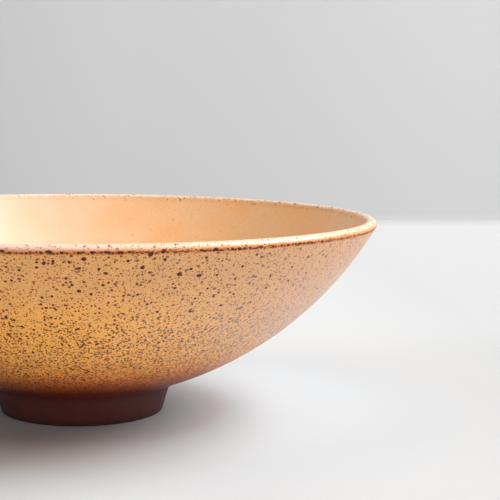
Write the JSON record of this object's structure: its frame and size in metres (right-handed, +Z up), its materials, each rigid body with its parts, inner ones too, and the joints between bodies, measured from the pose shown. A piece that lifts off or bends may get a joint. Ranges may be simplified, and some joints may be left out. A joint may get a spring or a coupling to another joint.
{
  "type": "salad bowl",
  "caption": "Wide, shallow salad bowl of thrown stoneware with a smooth arc wall, a rounded lip over a sharp bare edge, a speckled golden glaze and a bare clay foot ring.",
  "frame": {"origin": "middle of the foot's standing face, on the table", "axes": "+Z up along the bowl's axis of turning, +Y away from the picture's viewer"},
  "size_m": [0.3, 0.3, 0.101],
  "materials": {
    "clay_body": "unglazed fired stoneware, matte chocolate brown",
    "clay_foot": "turned and sponged bare stoneware, matte chocolate brown",
    "outer_glaze": "satin golden orange glaze with brown specks and dark iron spots",
    "liner_glaze": "satin light golden glaze with few soft specks"
  },
  "bodies": {
    "root": {"bowl_wall": "clay_body", "foot_ring": "clay_foot", "outer_glaze": "outer_glaze", "liner_glaze": "liner_glaze"}
  },
  "joints": []
}
